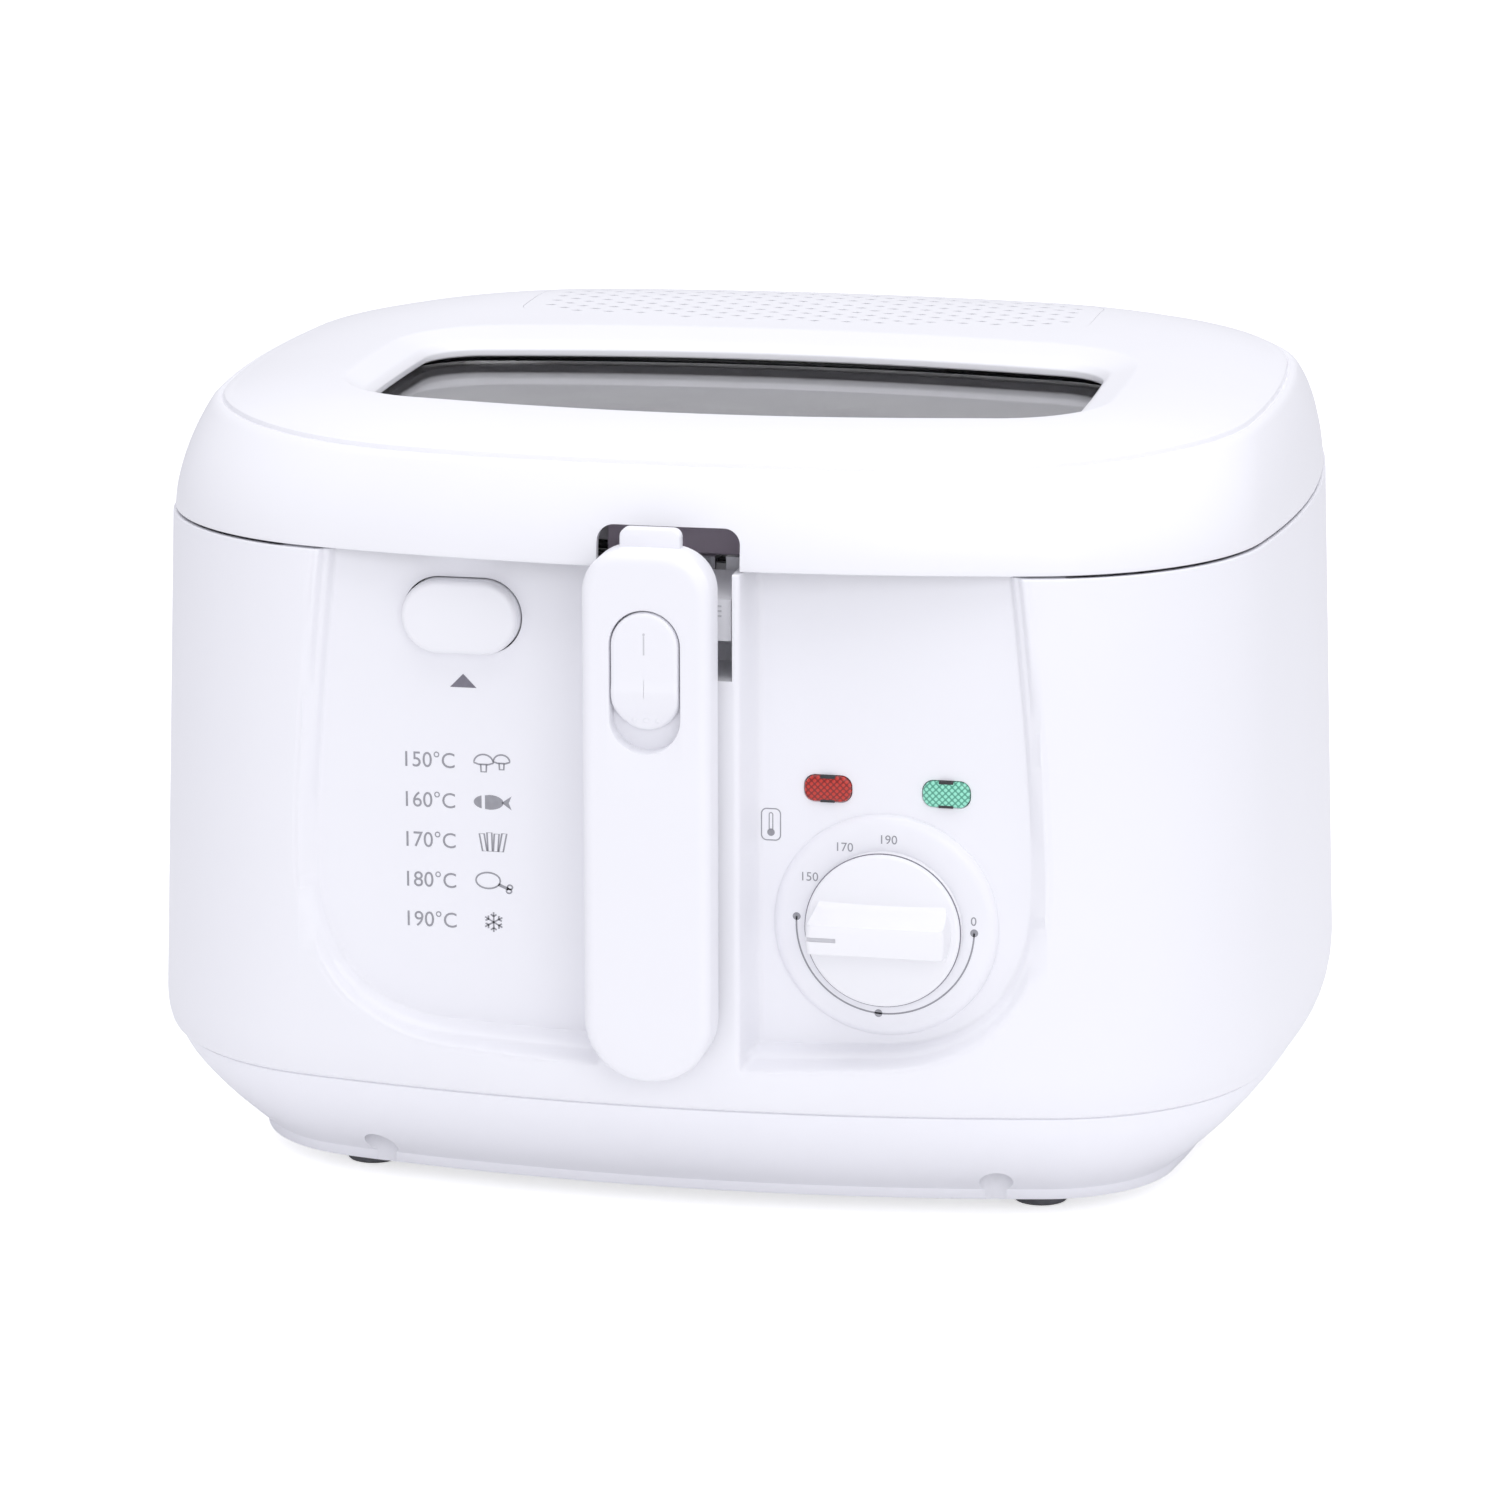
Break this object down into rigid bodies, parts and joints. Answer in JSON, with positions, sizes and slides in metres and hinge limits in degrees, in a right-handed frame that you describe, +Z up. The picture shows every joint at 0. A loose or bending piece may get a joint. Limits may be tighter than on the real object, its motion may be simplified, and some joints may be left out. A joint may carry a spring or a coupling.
{
  "type": "deep fryer",
  "caption": "Household deep fryer with hinged lid, viewing window, lid filter, front dial, lamps, release button and a wire basket with a folding handle.",
  "frame": {"origin": "centre of the bounding box at the level the feet stand on", "axes": "+X to the right seen from the front, -Y out of the front with the dial and handle, +Z up"},
  "size_m": [0.3664, 0.3412, 0.244],
  "materials": {
    "housing_plastic": "cool white moulded plastic, semi-gloss",
    "base_plastic": "cool white moulded plastic, semi-gloss",
    "lid_plastic": "white moulded plastic, glossy",
    "liner_plastic": "pale heat-proof plastic, matt",
    "button_plastic": "white plastic, satin",
    "knob_plastic": "white plastic, satin",
    "handle_plastic": "white plastic, satin",
    "slide_plastic": "white plastic, satin",
    "foot_rubber": "grey rubber, matt",
    "seal_rubber": "black rubber, matt",
    "pot_coating": "dark non-stick coating on pressed metal",
    "element_steel": "dull steel tube",
    "sheet_steel": "pressed steel sheet",
    "wire_steel": "bright steel wire",
    "screw_steel": "zinc-plated steel",
    "pin_steel": "turned steel",
    "spring_steel": "spring wire",
    "black_plastic": "black plastic, matt",
    "terminal_plastic": "pale plastic, matt",
    "red_lens": "clear red plastic",
    "green_lens": "clear green plastic",
    "window_glass": "clear toughened glass",
    "grease_felt": "pale felt mat",
    "charcoal_felt": "dark charcoal foam"
  },
  "bodies": {
    "fryer_body": {"outer_housing": "housing_plastic", "base_tray": "base_plastic", "oil_pot": "pot_coating", "heating_element": "element_steel", "heat_shield": "sheet_steel", "thermal_cutout": "black_plastic", "thermostat": "black_plastic", "power_lamp_lens": "red_lens", "heating_lamp_lens": "green_lens", "power_lamp_holder": "black_plastic", "heating_lamp_holder": "black_plastic", "cord_gland": "seal_rubber", "terminal_block": "terminal_plastic", "hinge_pin_left": "pin_steel", "hinge_pin_right": "pin_steel", "latch_spring": "spring_steel", "foot_front_right": "foot_rubber", "foot_front_left": "foot_rubber", "foot_rear_right": "foot_rubber", "foot_rear_left": "foot_rubber", "base_screw_front_right": "screw_steel", "base_screw_front_left": "screw_steel", "base_screw_rear_right": "screw_steel", "base_screw_rear_left": "screw_steel"},
    "latch": {"lid_button": "button_plastic", "latch_hook": "black_plastic"},
    "dial": {"temperature_knob": "knob_plastic", "thermostat_shaft": "pin_steel"},
    "lid": {"lid_outer": "lid_plastic", "window_glass": "window_glass", "window_gasket": "seal_rubber", "lid_inner": "liner_plastic", "lid_seal": "seal_rubber", "filter_cover": "lid_plastic", "grease_filter": "grease_felt", "charcoal_filter": "charcoal_felt", "lid_screw_left_front": "screw_steel", "lid_screw_left_rear": "screw_steel", "lid_screw_right_front": "screw_steel", "lid_screw_right_rear": "screw_steel"},
    "basket": {"basket_rim": "wire_steel", "basket_net_front": "wire_steel", "basket_net_back": "wire_steel", "basket_net_left": "wire_steel", "basket_net_right": "wire_steel", "basket_net_floor": "wire_steel", "basket_hanger": "sheet_steel", "handle_holder": "handle_plastic", "handle_pin": "pin_steel"},
    "handle": {"handle_grip": "handle_plastic", "handle_cover": "handle_plastic"},
    "slide_lock": {"handle_slide": "slide_plastic", "handle_slide_spring": "spring_steel"}
  },
  "joints": [
    {"name": "lid_hinge", "type": "hinge", "parent": "fryer_body", "child": "lid", "pos_m": [0, 0.16505, 0.205], "axis": [-1, 0, 0], "range_deg": [0, 85]},
    {"name": "release_button", "type": "slide", "parent": "fryer_body", "child": "latch", "axis": [0, 1, 0], "range_m": [0, 0.004], "stiffness_N_per_m": 400, "springref_m": -0.003, "deforming": ["latch_spring"]},
    {"name": "temperature_dial", "type": "hinge", "parent": "fryer_body", "child": "dial", "pos_m": [0.0662, -0.13595, 0.0983], "axis": [0, -1, 0], "range_deg": [-92, 179]},
    {"name": "basket_lift", "type": "slide", "parent": "fryer_body", "child": "basket", "axis": [0, 0, 1], "range_m": [0, 0.01]},
    {"name": "handle_fold", "type": "hinge", "parent": "basket", "child": "handle", "pos_m": [0, -0.16335, 0.208], "axis": [-1, 0, 0], "range_deg": [0, 90]},
    {"name": "slide_lock", "type": "slide", "parent": "handle", "child": "slide_lock", "axis": [0, 0, -1], "range_m": [0, 0.006], "stiffness_N_per_m": 200, "springref_m": -0.004, "deforming": ["handle_slide_spring"]}
  ]
}
